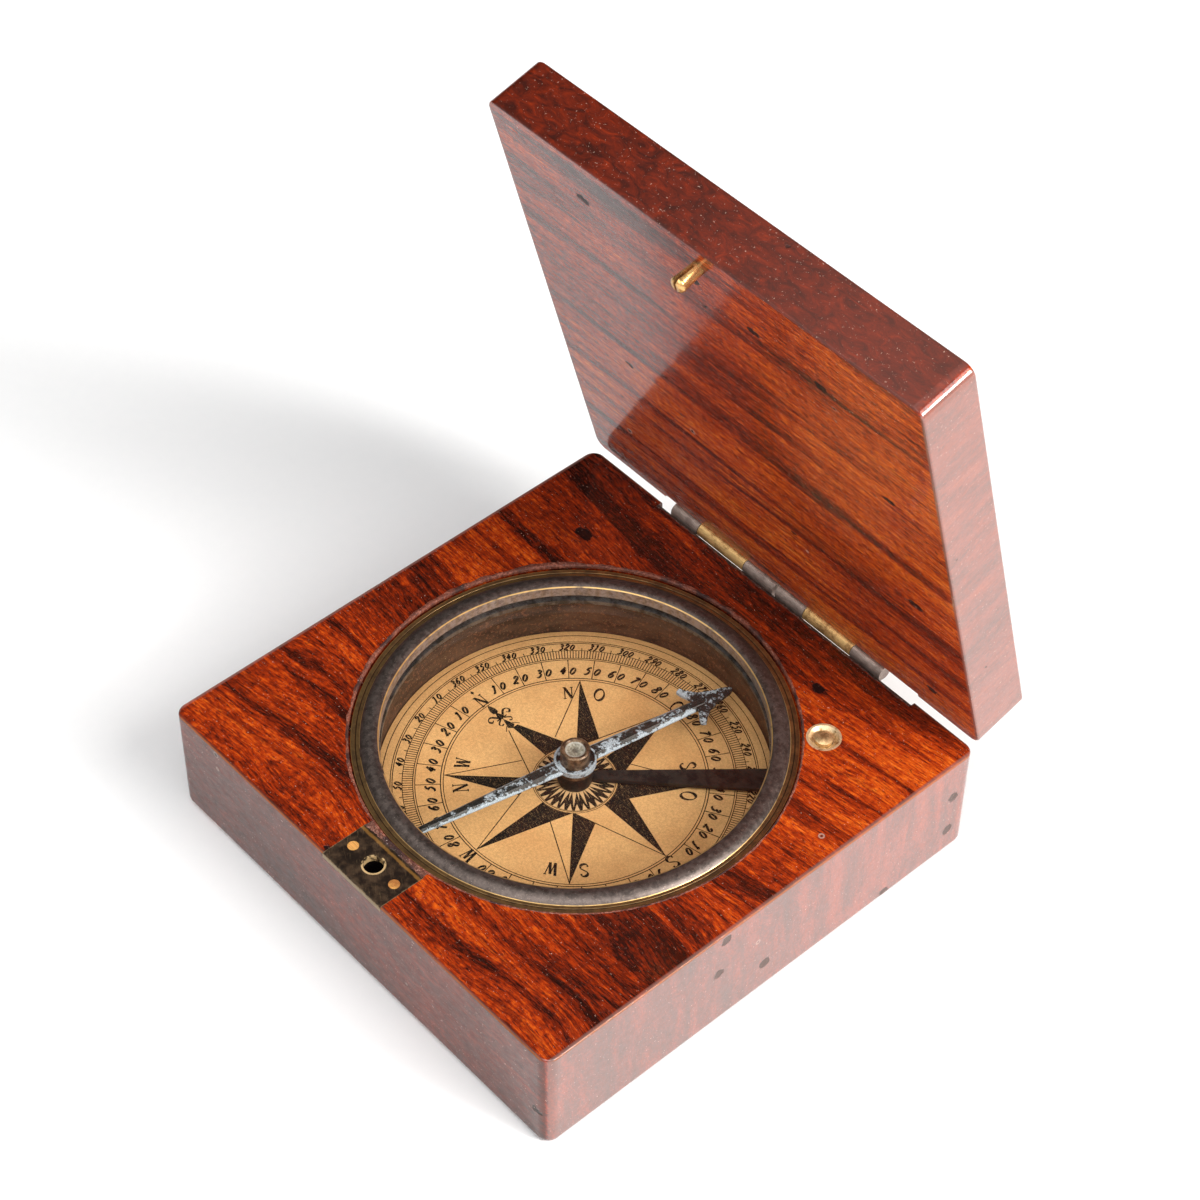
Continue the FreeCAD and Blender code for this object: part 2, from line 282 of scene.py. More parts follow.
def wood_pinholes(g, place):
    """Pinholes, and the pale rim that some of them have."""
    near, odds = g.cells(place, 0.11, (2.4, 0.2, 5.1))
    hole = g.step(near, 0.034, 0.044, 1.0, 0.0)
    rim = g.mul(band(g, near, 0.046, 0.064, 0.008), g.step(odds[1], 0.5, 0.55))
    return hole, rim


def wood_worn_edges(g, place, at_x, at_y, at_z):
    """The sharp edges beside the seam, rubbed unevenly."""
    rub = g.mul(g.noise(place, 0.30, 4.0, 0.65, (9, 9, 2)), 0.22)
    edge_x = g.step(g.add(g.size(at_x), rub), SIDE_X - 0.14, SIDE_X)
    edge_y = g.step(g.add(g.size(at_y), rub), SIDE_Y - 0.14, SIDE_Y)
    edge_z = g.step(g.size(g.sub(at_z, SEAM_Z)), 0.14, 0.34, 1.0, 0.0)
    return g.mul(g.most(edge_x, edge_y), edge_z)


WOOD_RAMP = [
    (0.22, (0.008, 0.0020, 0.0011)), (0.37, (0.042, 0.0050, 0.0017)), (0.48, (0.145, 0.0125, 0.0019)),
    (0.59, (0.340, 0.0310, 0.0028)), (0.71, (0.590, 0.0900, 0.0065)), (0.84, (0.780, 0.2100, 0.0220)),
]


def hardwood(name, swing, shift, wander, polish):
    """Red-brown hardwood with dark ribbons along X, dents, pinholes and a hand-rubbed polish.

    swing, in degrees, turns an open lid's wood back to where the shut lid's is.
    """
    g = material_graph(name)
    place = g.place()
    if swing:
        place = g.turned(place, tuple(hinge / MM), swing, "X_AXIS")
    at_x, at_y, at_z = g.split(place)
    lid = 1.0 if swing else 0.0
    place = g.vector("ADD", place, shift)
    grain = wood_grain(g, place, wander)

    # The faces: sawn end grain at the two X sides, the shaded Y sides, and the lid's front edge.
    sawn = g.step(g.size(at_x), SIDE_X - 0.75, SIDE_X - 0.40)
    shaded = g.step(g.size(at_y), SIDE_Y - 0.60, SIDE_Y - 0.30)
    quiet = g.most(sawn, g.mul(shaded, 0.8))
    front = g.step(at_y, 0.05 - SIDE_Y, 0.35 - SIDE_Y, 0.85 * lid, 0.0)
    front = g.mul(front, g.step(at_z, SEAM_Z - 0.2, SEAM_Z + 0.2))

    # Tone: streaks and fibres along the grain, a cross figure, clouds and dark bands.
    ribbons = g.noise(grain, (0.012, 0.25, 0.03), 3.0, 0.62)
    streaks = spread(g, g.noise(grain, (0.045, 1.10, 0.16), 3.0, 0.66, (7, 3, 1)), 1.6)
    fibres = spread(g, g.noise(grain, (0.55, 3.3, 1.6), 3.0, 0.70, (1, 9, 4)), 1.9)
    figure = g.noise(place, (1.10, 0.42, 0.30), 3.0, 0.65, (6, 6, 6))
    clouds = g.noise(place, (0.035, 0.05, 0.05), 2.0, 0.5, (4, 4, 9))
    to_right = g.step(at_x, -30.0, 42.0, 0.160, 0.190)
    to_back = g.step(at_y, -42.0, 42.0, -0.018, 0.022)
    clouds = g.mul(g.sub(clouds, 0.5), 0.34)
    tone = g.add(g.mul(streaks, 0.18 + 0.08 * lid), g.mul(fibres, 0.37), g.mul(figure, 0.24), clouds,
                 to_right, to_back)
    ragged_bands = g.add(ribbons, g.mul(g.sub(figure, 0.5), 0.10))
    bands = g.step(ragged_bands, 0.45, 0.66, 0.0, 0.19)
    tone = g.sub(tone, g.mul(bands, g.rest(g.mul(quiet, 0.6))))
    calm = g.add(g.mul(g.sub(tone, 0.5), 0.45), 0.475)
    # Painted shade: the tone a little darker on the Y sides.
    calm = g.sub(calm, g.mul(shaded, 0.045))
    tone = g.add(g.between(tone, calm, quiet), 0.010 + 0.016 * lid)
    rings = g.noise(place, (0.02, 0.34, 0.07), 3.0, 0.6, (2, 2, 2), 0.6)
    rings = g.mul(g.sub(rings, 0.5), 0.40 - 0.12 * lid)
    tone = g.add(tone, g.mul(rings, sawn))
    burr = g.noise(place, (0.30, 0.75, 0.62), 5.0, 0.70, (5, 1, 5), 0.9)
    burr = g.sub(spread(g, burr, 0.62), 0.080)
    tone = g.between(tone, burr, front)

    # Colour, with dark veins and pores, the marks of use, the paler sawn faces (partly a painted sheen),
    # painted shade on the base's Y sides and a painted sheen on the lid's front edge.
    colour = g.ramp(tone, WOOD_RAMP)
    veins = g.noise(grain, (0.012, 0.38, 0.05), 2.0, 0.5, (3, 3, 8))
    veins = g.mul(band(g, veins, 0.56, 0.60, 0.018), g.sub(0.32, g.mul(quiet, 0.28)))
    colour = g.mix(veins, colour, (0.026, 0.005, 0.0022))
    pores = g.noise(place, (0.90, 5.0, 5.0), 2.0, 0.6, (3, 8, 2))
    pores = g.mul(g.step(pores, 0.57, 0.65), g.rest(g.mul(quiet, 0.85)))
    colour = g.mix(g.mul(pores, 0.70), colour, (0.014, 0.0040, 0.0022))
    dents = wood_dents(g, place)
    colour = g.mix(g.mul(dents, 0.95), colour, (0.0045, 0.0035, 0.0038))
    hole, rim = wood_pinholes(g, place)
    colour = g.mix(hole, colour, (0.006, 0.004, 0.004))
    colour = g.mix(g.mul(rim, 0.6), colour, (0.55, 0.38, 0.30))
    # The sawn end grain is paler, partly its own colour and partly a painted sheen.
    colour = g.mix(g.mul(sawn, 0.44 + 0.10 * lid), colour, (0.24, 0.165, 0.142))
    # Painted shade: the base's Y sides darker and greyer.
    colour = g.mix(g.mul(shaded, 0.40 - 0.40 * lid), colour, (0.078, 0.042, 0.031))
    # Painted sheen: the lid's front edge paler and pinker towards +X.
    painted_sheen = g.mul(front, g.step(at_x, -30.0, 40.0, 0.05, 0.45))
    colour = g.mix(painted_sheen, colour, (0.20, 0.085, 0.070))
    wax = g.step(g.noise(place, 2.6, 3.0, 0.7, (8, 1, 6)), 0.655, 0.70)
    colour = g.mix(g.mul(wax, 0.60), colour, (0.70, 0.46, 0.36))
    edge = wood_worn_edges(g, place, at_x, at_y, at_z)
    colour = g.mix(g.mul(edge, 0.60), colour, (0.42, 0.13, 0.040))
    # The peg's hole goes on down into the base's wood, which is painted dark there as shade.
    keyhole_shade = from_centre(g, g.join(at_x, at_y, 0.0), (latch_hole.x / MM, latch_hole.y / MM))
    keyhole_shade = g.mul(g.step(keyhole_shade, 1.9, 2.1, 1.0, 0.0), g.step(at_z, 15.0, 16.0, 0.0, 1.0 - lid))
    colour = g.mix(keyhole_shade, colour, (0.004, 0.003, 0.003))

    # Relief under the polish, and the polish's own gentler relief, gone at dents and rubbed places.
    level = g.sub(g.mul(fibres, 0.30), g.mul(pores, 0.6))
    level = g.sub(level, g.mul(g.add(dents, hole), 3.0))
    waves = g.noise(place, (0.10, 0.22, 0.22), 2.0, 0.5, (5, 2, 8))
    rubbed = g.bump(g.add(g.mul(level, 0.20), g.mul(waves, 3.0)), 0.03)
    dull = g.step(g.noise(place, (0.5, 0.9, 0.9), 4.0, 0.7, (2, 6, 3)), 0.35, 0.75, 0.35, 0.60)
    bare = g.most(g.mul(dents, 0.8), g.mul(edge, 0.7))
    thin = g.step(at_x, -18.0, 0.0, 0.0, 0.60 * lid)
    bare = g.most(bare, g.mul(thin, g.rest(sawn)))
    bare = g.most(bare, g.mul(shaded, 0.45 - 0.45 * lid))
    return g.finish(
        base_color=colour, roughness=dull, normal=g.bump(level, 0.035), specular_ior_level=0.08,
        coat_weight=g.rest(g.most(bare, keyhole_shade)), coat_roughness=0.09, coat_ior=polish,
        coat_normal=rubbed,
    )


def speckled(g, place, size, low, high, shift=(0, 0, 0)):
    """Specks where noise is over low, whole over high."""
    return g.step(g.noise(place, size, 4.0, 0.65, shift), low, high)


def metal(g, colour, rough, level, depth, share):
    """A metal finish; share is how metallic it is, less than 1 where it is dirty."""
    return g.finish(base_color=colour, metallic=share, roughness=rough, normal=g.bump(level, depth))


def worn_brass(name, bright, dark, rough=(0.28, 0.55), patches=(0.42, 0.62), size=0.5, share=0.75):
    """Brass between a rubbed colour and a tarnished one, in patches, with fine scratches."""
    g = material_graph(name)
    place = g.place()
    tarnish = speckled(g, place, size, *patches)
    fine = g.noise(place, 6, 3.0, 0.6)
    scratch = g.noise(place, (0.8, 14, 14), 2.0, 0.6, (1, 2, 3))
    colour = g.mix(tarnish, bright, dark)
    shade = g.step(scratch, 0.3, 0.7, 0.75, 1.15)
    colour = g.mix(1.0, colour, g.join(shade, shade, shade), "MULTIPLY")
    level = g.add(g.mul(fine, 0.6), g.mul(scratch, 0.5))
    return metal(g, colour, g.step(fine, 0.3, 0.7, *rough), level, 0.012, share)


def bowl_brass():
    """The bowl: a golden-brown turned flange, and a wall gone dark with copper specks."""
    g = material_graph("bowl_brass")
    place = g.place()
    radius = from_centre(g, place, DIAL_MM)
    turning = g.noise(g.join(g.mul(radius, 7.0), g.split(place)[2], 0.0), (1, 4, 1), 2.0)
    stains = g.noise(place, 0.35, 4.0, 0.65)
    flange = g.mix(g.step(stains, 0.35, 0.65), (0.36, 0.215, 0.085), (0.16, 0.095, 0.045))
    groove = band(g, radius, flange_r - 0.80, flange_r - 0.66, 0.05)
    edge = g.step(radius, flange_r - 0.14, flange_r - 0.05)
    flange = g.mix(g.mul(groove, 0.8), flange, (0.02, 0.015, 0.01))
    flange = g.mix(g.mul(edge, 0.7), flange, (0.50, 0.30, 0.09))
    wall_stain = g.noise(place, (0.16, 0.16, 0.5), 4.0, 0.6, (6, 1, 2))
    wall = g.mix(g.step(wall_stain, 0.26, 0.74), (0.040, 0.022, 0.015), (0.140, 0.078, 0.048))
    copper = speckled(g, place, 2.0, 0.54, 0.64, (3, 3, 3))
    wall = g.mix(g.mul(copper, 0.60), wall, (0.32, 0.13, 0.07))
    gold = speckled(g, place, 3.2, 0.66, 0.70, (5, 9, 1))
    wall = g.mix(gold, wall, (0.55, 0.40, 0.22))
    inside = g.step(radius, flange_r - BEAD_WIDTH, flange_r - BEAD_WIDTH + 0.3, 1.0, 0.0)
    colour = g.mix(inside, flange, wall)
    rough = g.add(g.mul(inside, 0.15), g.step(stains, 0.3, 0.7, 0.30, 0.45))
    level = g.add(g.mul(turning, 0.5), g.mul(gold, 0.6))
    level = g.sub(level, g.mul(groove, 4.0))
    metallic = g.sub(0.90, g.mul(inside, 0.60))
    return metal(g, colour, rough, level, 0.02, metallic)


def bezel_bronze():
    """The bead: dark purple-brown, rubbed to brass in a thin line at each edge."""
    g = material_graph("bezel_bronze")
    place = g.place()
    radius = from_centre(g, place, DIAL_MM)
    inner_r = bead_out_r - BEAD_WIDTH
    turning = g.noise(g.join(g.mul(radius, 9.0), g.split(place)[2], 0.0), (1, 3, 1), 2.0)
    stains = g.noise(place, 1.3, 4.0, 0.65)
    colour = g.mix(g.step(stains, 0.32, 0.68), (0.080, 0.062, 0.054), (0.150, 0.118, 0.104))
    mottle = speckled(g, place, 2.6, 0.58, 0.66, (2, 7, 2))
    colour = g.mix(g.mul(mottle, 0.40), colour, (0.27, 0.20, 0.165))
    dust = speckled(g, place, 5.0, 0.67, 0.71, (6, 6, 1))
    breaks = g.step(g.noise(place, 0.28, 3.0, 0.6, (9, 1, 1)), 0.32, 0.46)
    inner = band(g, radius, inner_r + 0.02, inner_r + 0.20, 0.05)
    outer = g.step(radius, bead_out_r - 0.12, bead_out_r - 0.03)
    lines = g.mul(g.add(inner, outer), breaks)
    colour = g.mix(g.least(lines, 1.0), colour, (0.72, 0.46, 0.17))
    skirt = g.step(radius, inner_r - 0.02, inner_r + 0.03, 1.0, 0.0)
    grey = g.mix(g.step(stains, 0.35, 0.6), (0.22, 0.185, 0.185), (0.44, 0.39, 0.385))
    colour = g.mix(skirt, colour, grey)
    colour = g.mix(g.mul(dust, 0.8), colour, (0.62, 0.55, 0.48))
    level = g.add(g.mul(turning, 0.4), g.mul(mottle, 0.4))
    rough = g.step(stains, 0.3, 0.7, 0.30, 0.46)
    return metal(g, colour, rough, level, 0.012, 0.75)


def latch_bronze():
    """The latch plate: near black, bright at its rubbed edges and round its hole."""
    g = material_graph("latch_bronze")
    place = g.place()
    x, y, _ = g.split(place)
    half_x = (latch_high.x - latch_low.x) / 2 / MM
    half_y = (latch_high.y - latch_low.y) / 2 / MM
    middle_y = (latch_high.y + latch_low.y) / 2 / MM
    side = g.sub(half_x, g.size(x))
    end = g.sub(half_y, g.size(g.sub(y, middle_y)))
    nick = g.noise(place, 1.2, 4.0, 0.7)
    to_edge = g.sub(g.least(side, end), g.mul(g.sub(nick, 0.5), 0.5))
    edge = g.step(to_edge, 0.02, 0.14, 1.0, 0.0)
    to_hole = from_centre(g, place, (0.0, latch_hole.y / MM))
    rim = band(g, to_hole, 1.4, 1.80, 0.06)
    rim = g.mul(rim, g.step(nick, 0.38, 0.52))
    back_y = latch_high.y / MM
    streak = band(g, g.add(y, g.mul(nick, 0.5)), back_y - 0.75, back_y - 0.3, 0.12)
    patch = g.step(g.noise(place, 0.6, 4.0, 0.65, (2, 2, 7)), 0.40, 0.66)
    colour = g.mix(patch, (0.026, 0.016, 0.011), (0.090, 0.054, 0.030))
    scratch = g.step(g.noise(g.turned(place, (0, 0, 0), 35), (0.5, 9, 9), 2.0, 0.6), 0.62, 0.70)
    colour = g.mix(g.mul(scratch, 0.45), colour, (0.26, 0.18, 0.09))
    colour = g.mix(g.mul(streak, 0.55), colour, (0.50, 0.24, 0.05))
    colour = g.mix(g.mul(edge, 0.55), colour, (0.42, 0.30, 0.16))
    colour = g.mix(g.mul(rim, 0.95), colour, (0.90, 0.62, 0.30))
    level = g.sub(g.mul(nick, 0.8), g.mul(scratch, 0.5))
    return metal(g, colour, g.step(patch, 0.0, 1.0, 0.36, 0.50), level, 0.02, 0.6)


def needle_steel():
    """Blued steel: dark on the flats, pale grey-blue oxide on the edges and in patches."""
    g = material_graph("needle_steel")
    place = g.place()
    flat = g.turned(place, (*DIAL_MM, 0.0), -NEEDLE_AZIMUTH)
    x, y, _ = g.split(flat)
    side = g.size(g.sub(y, DIAL_MM[1]))
    along = g.sub(x, DIAL_MM[0])
    out = g.size(along)
    reach = from_centre(g, place, DIAL_MM)
    half = g.step(out, 2.0, 27.0, 1.40, 0.70)
    mottle = g.noise(place, 1.1, 5.0, 0.74)
    arm_edge = g.step(g.math("DIVIDE", side, half), 0.62, 0.92)
    hub = g.step(reach, NEEDLE_HUB_R - 0.2, NEEDLE_HUB_R + 0.1, 1.0, 0.0)
    hub_edge = g.step(reach, NEEDLE_HUB_R - 0.45, NEEDLE_HUB_R - 0.15)
    head = g.step(along, 20.0, 21.2)
    barb = g.mul(head, g.step(side, 1.7, 2.6))
    edge = g.mix(hub, arm_edge, hub_edge)
    edge = g.mul(edge, g.rest(g.mul(head, 0.85)))
    patch = g.step(g.noise(place, 0.22, 2.0, 0.5, (4, 1, 2)), 0.35, 0.65, -0.06, 0.08)
    amount = g.add(mottle, patch, g.mul(edge, 0.19), g.mul(barb, 0.05))
    oxide = g.step(amount, 0.555, 0.63)
    fine = g.noise(place, 7, 3.0, 0.6)
    pale = g.mix(g.step(fine, 0.3, 0.7), (0.22, 0.28, 0.33), (0.55, 0.60, 0.63))
    dark = g.mix(g.step(fine, 0.35, 0.65), (0.016, 0.015, 0.014), (0.055, 0.052, 0.046))
    colour = g.mix(oxide, dark, pale)
    rough = g.add(0.42, g.mul(oxide, 0.25))
    level = g.add(g.mul(oxide, 0.8), g.mul(fine, 0.3))
    return g.finish(
        base_color=colour, metallic=g.step(oxide, 0.0, 1.0, 0.55, 0.10), roughness=rough,
        normal=g.bump(level, 0.03),
    )


def card_paper(name, tan, deep):
    """Old paper: warm tan with fibres, foxing and a darker rim of dust."""
    g = material_graph(name)
    place = g.place()
    radius = from_centre(g, place, DIAL_MM)
    cloud = g.noise(place, 0.10, 4.0, 0.6)
    fibre = g.noise(place, 3.0, 4.0, 0.7, (1, 1, 1))
    speck = g.step(g.noise(place, 5.5, 2.0, 0.5, (7, 2, 2)), 0.68, 0.74)
    colour = g.mix(g.step(cloud, 0.35, 0.7), tan, deep)
    shade = g.step(fibre, 0.3, 0.7, 0.84, 1.12)
    colour = g.mix(1.0, colour, g.join(shade, shade, shade), "MULTIPLY")
    colour = g.mix(g.mul(speck, 0.35), colour, (0.20, 0.10, 0.035))
    dusty = g.step(radius, 27.5, 30.0)
    colour = g.mix(g.mul(dusty, 0.35), colour, (0.34, 0.19, 0.075))
    return g.finish(base_color=colour, roughness=0.82, normal=g.bump(fibre, 0.012), specular_ior_level=0.2)


def printing_ink():
    """Black copper-plate ink, hatched, and thin in places so that the paper shows through."""
    g = material_graph("printing_ink")
    place = g.place()
    fleck = g.noise(place, 6.5, 4.0, 0.75)
    hatch = g.noise(g.turned(place, (0, 0, 0), 12), (0.9, 11.0, 1.0), 2.0, 0.6, (3, 5, 2))
    cross = g.noise(g.turned(place, (0, 0, 0), 101), (0.9, 9.0, 1.0), 2.0, 0.6, (8, 1, 2))
    lines = g.most(hatch, g.sub(cross, 0.05))
    thin = g.add(g.mul(fleck, 0.50), g.mul(lines, 0.50))
    thin = g.step(thin, 0.535, 0.655)
    colour = g.mix(g.mul(thin, 0.80), (0.0075, 0.0058, 0.0045), (0.42, 0.24, 0.10))
    return g.finish(base_color=colour, roughness=0.8, specular_ior_level=0.15)


def paper_light():
    """The colour of bare paper, for the pale rays laid over the sunburst's ink."""
    g = material_graph("paper_light")
    fibre = g.noise(g.place(), 3.0, 4.0, 0.7)
    colour = g.mix(g.step(fibre, 0.3, 0.7), (0.58, 0.34, 0.145), (0.66, 0.41, 0.19))
    return g.finish(base_color=colour, roughness=0.8)


def clear_glass():
    """Flat window glass: it mirrors a little, more at a low angle, and lets the rest through."""
    g = material_graph("clear_glass")
    film = speckled(g, g.place(), 0.35, 0.45, 0.75)
    sheen = g.node("BsdfGlossy", {"Color": (1.0, 1.0, 1.0), "Roughness": 0.03})
    open_ = g.node("BsdfTransparent", {"Color": (0.99, 0.99, 0.985)})
    tilt = g.node("LayerWeight", {"Blend": 0.5}).outputs["Facing"]
    grazing = g.mul(g.math("POWER", tilt, 5.0), 0.9)
    share = g.add(grazing, 0.022, g.mul(film, 0.012))
    pane = g.node("MixShader", {0: share, 1: open_.outputs[0], 2: sheen.outputs[0]})
    return g.output(pane.outputs[0])


def polished_agate():
    """The cap's stone: grey-green swirls with a dark middle and a pale rim."""
    g = material_graph("polished_agate")
    place = g.place()
    swirl = g.noise(place, 1.2, 5.0, 0.65, (0, 0, 0), 1.5)
    stops = [(0.30, (0.08, 0.07, 0.05)), (0.50, (0.24, 0.225, 0.17)), (0.66, (0.50, 0.49, 0.42))]
    colour = g.ramp(swirl, stops)
    middle_dot = g.step(from_centre(g, place, DIAL_MM), 0.25, 0.75, 0.75, 0.0)
    colour = g.mix(middle_dot, colour, (0.045, 0.038, 0.028))
    rim = g.step(from_centre(g, place, DIAL_MM), 1.05, 1.35, 0.0, 0.5)
    colour = g.mix(rim, colour, (0.50, 0.48, 0.42))
    return g.finish(base_color=colour, roughness=0.35, coat_weight=1.0, coat_roughness=0.12)


def splintered_wood(name, pale, red, dark):
    """Raw broken wood fibres with dust and old wax in them."""
    g = material_graph(name)
    place = g.place()
    rough = g.noise(place, 2.4, 5.0, 0.75)
    patch = g.noise(place, 0.25, 3.0, 0.6, (5, 5, 5))
    colour = g.ramp(rough, [(0.34, dark), (0.50, red), (0.66, pale)])
    colour = g.mix(g.step(patch, 0.45, 0.65), colour, dark)
    wax = speckled(g, place, 4.0, 0.64, 0.70, (1, 6, 4))
    colour = g.mix(g.mul(wax, 0.7), colour, (0.72, 0.55, 0.50))
    return g.finish(base_color=colour, roughness=0.55, normal=g.bump(rough, 0.12))


def white_floor():
    """Matt white paper."""
    g = material_graph("white_floor")
    place = g.place()
    tooth = g.noise(place, 0.5, 4.0, 0.6)
    colour = g.mix(tooth, (0.91, 0.915, 0.92), (0.94, 0.94, 0.94))
    return g.finish(base_color=colour, roughness=0.9)


def paint(material, *nodes):
    """Gives CAD nodes a finer material in their own slots."""
    for name in nodes:
        node = frame["nodes"][name]
        if not node.material_slots:
            node.data.materials.append(material)
        for material_slot in node.material_slots:
            material_slot.material = material


FLAT_SHADED = ("glass_disc", "needle", "lifter_spring")
SHARP_ANGLE = math.radians(30)


def smooth_round_faces():
    """Shades the CAD nodes' round faces smooth and keeps their corners sharp."""
    for name, node in frame["nodes"].items():
        if name not in FLAT_SHADED:
            node.data.shade_smooth()
            node.data.set_sharp_from_angle(angle=SHARP_ANGLE)


STEEL_NODES = ("pivot_point", "lifter_fulcrum_pin", "lifter_spring")
LEAF_NODES = ("left_hinge_base_leaf", "right_hinge_base_leaf", "left_hinge_pin", "right_hinge_pin")
LID_LEAF_NODES = ("left_hinge_lid_leaf", "right_hinge_lid_leaf")
NAIL_NODES = ("base_leaf_nails", "lid_leaf_nails")

# Worn metals: name, rubbed colour, tarnished colour, other settings of worn_brass, and CAD nodes.
WORN_METALS = [
    ("seat_grey", (0.22, 0.20, 0.19), (0.08, 0.07, 0.06), {}, ("glass_seat_ring",)),
    ("pin_copper", (0.95, 0.47, 0.13), (0.55, 0.22, 0.06), {"share": 0.5}, ("latch_plate_pins",)),
    ("leaf_brass", (0.50, 0.39, 0.33), (0.25, 0.18, 0.16),
     {"rough": (0.32, 0.5), "patches": (0.34, 0.80)}, LEAF_NODES),
    ("knuckle_brass", (0.95, 0.60, 0.24), (0.46, 0.24, 0.09),
     {"rough": (0.28, 0.45), "patches": (0.46, 0.68)}, LID_LEAF_NODES),
    ("nail_brass", (0.78, 0.54, 0.26), (0.32, 0.20, 0.09), {}, NAIL_NODES),
    ("peg_brass", (0.85, 0.50, 0.19), (0.42, 0.21, 0.075),
     {"rough": (0.16, 0.28), "patches": (0.40, 0.66), "size": 0.35}, ("catch_peg",)),
    ("bush_brass", (0.90, 0.70, 0.42), (0.46, 0.28, 0.12),
     {"rough": (0.34, 0.58), "patches": (0.48, 0.66), "size": 1.1}, ("lock_pin_bush",)),
    ("lock_pin_brass", (0.80, 0.56, 0.28), (0.34, 0.21, 0.09), {"rough": (0.28, 0.48)}, ("lock_pin",)),
    ("cap_brass", (0.34, 0.22, 0.13), (0.10, 0.065, 0.042),
     {"rough": (0.28, 0.48), "patches": (0.35, 0.60), "size": 0.9}, ("needle_cap",)),
    ("lever_bronze", (0.040, 0.033, 0.028), (0.013, 0.011, 0.010),
     {"rough": (0.38, 0.55), "share": 0.5}, ("lifter_lever",)),
    ("boss_bronze", (0.16, 0.125, 0.09), (0.05, 0.04, 0.03), {}, ("pivot_boss",)),
    ("plain_steel", (0.42, 0.42, 0.43), (0.20, 0.19, 0.18), {}, STEEL_NODES),
]
# The lid's piece of wood: where it is cut from, in millimetres.
LID_SHIFT = (31.0, 57.0, 13.0)


def paint_frame():
    paint(hardwood("base_hardwood", 0, (0, 0, 0), 1.0, 1.70), "base_block")
    paint(hardwood("lid_hardwood", lid_turn, LID_SHIFT, 0.35, 1.65), "lid_panel")
    paint(bowl_brass(), "compass_bowl")
    paint(bezel_bronze(), "bezel_ring")
    paint(clear_glass(), "glass_disc")
    paint(card_paper("card_tan", (0.69, 0.398, 0.160), (0.61, 0.328, 0.124)), "dial_card")
    paint(card_paper("board_grey", (0.32, 0.22, 0.12), (0.22, 0.15, 0.08)), "card_board")
    paint(latch_bronze(), "latch_plate")
    paint(polished_agate(), "cap_jewel")
    paint(needle_steel(), "needle")
    for name, bright, dark, settings, nodes in WORN_METALS:
        paint(worn_brass(name, bright, dark, **settings), *nodes)


# ---- flat print on the card


class Sheet:
    """Faces gathered into one mesh."""

    def __init__(self):
        self.points = []
        self.faces = []

    def face(self, corners):
        first = len(self.points)
        self.points += corners
        self.faces.append(list(range(first, first + len(corners))))

    def piece(self, name, material, body, slot):
        mesh = bpy.data.meshes.new(name)
        mesh.from_pydata([tuple(point) for point in self.points], [], self.faces)
        mesh.materials.append(material)
        mesh.update()
        made = add_object(name, mesh)
        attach(made, body)
        return made


# Lengths in millimetres from the dial's centre, turns in degrees from +X.
INK_LIFT = 0.015
INK_STEP = 0.004
NORTH = 181.2
SCALE_RINGS = (
    (29.0, 0.13), (27.7, 0.13), (27.4, 0.13), (25.9, 0.11), (24.3, 0.13), (24.0, 0.13), (20.15, 0.16),
    (19.75, 0.13),
)
DEGREES_R = (24.35, 25.85)
FIVES_R = (25.9, 26.45)
INNER_TENS = ((20.15, 20.9, 0.15), (22.7, 24.0, 0.15), (20.9, 22.7, 0.12))
OUTER_NUMBERS_R = 26.62
INNER_NUMBERS_R = 21.75
DIGIT_GAP = 0.74
CARDINALS_R = 21.15
WINDS_R = 17.2
LETTER_HEIGHT = 2.25
CARDINALS = (("N", 0), ("O", -90), ("S", 180), ("W", 90))
WINDS = (
    ("O", 126), ("N", 142), ("W", 218), ("N", 234), ("O", 38), ("S", 57.5), ("W", 307), ("S", 323),
)
STAR_R = 19.65
MEDAL_R = 6.5
NOTCH_R = 8.82
ENGRAVED_SIDE = 20.0
NORTH_TIP = 13.9
DIGIT_PEN = (0.11, 0.27)  # the digits' thin and thick strokes, as shares of their height
PEN_ANGLE = 0.9
CURVE_STEPS = 4


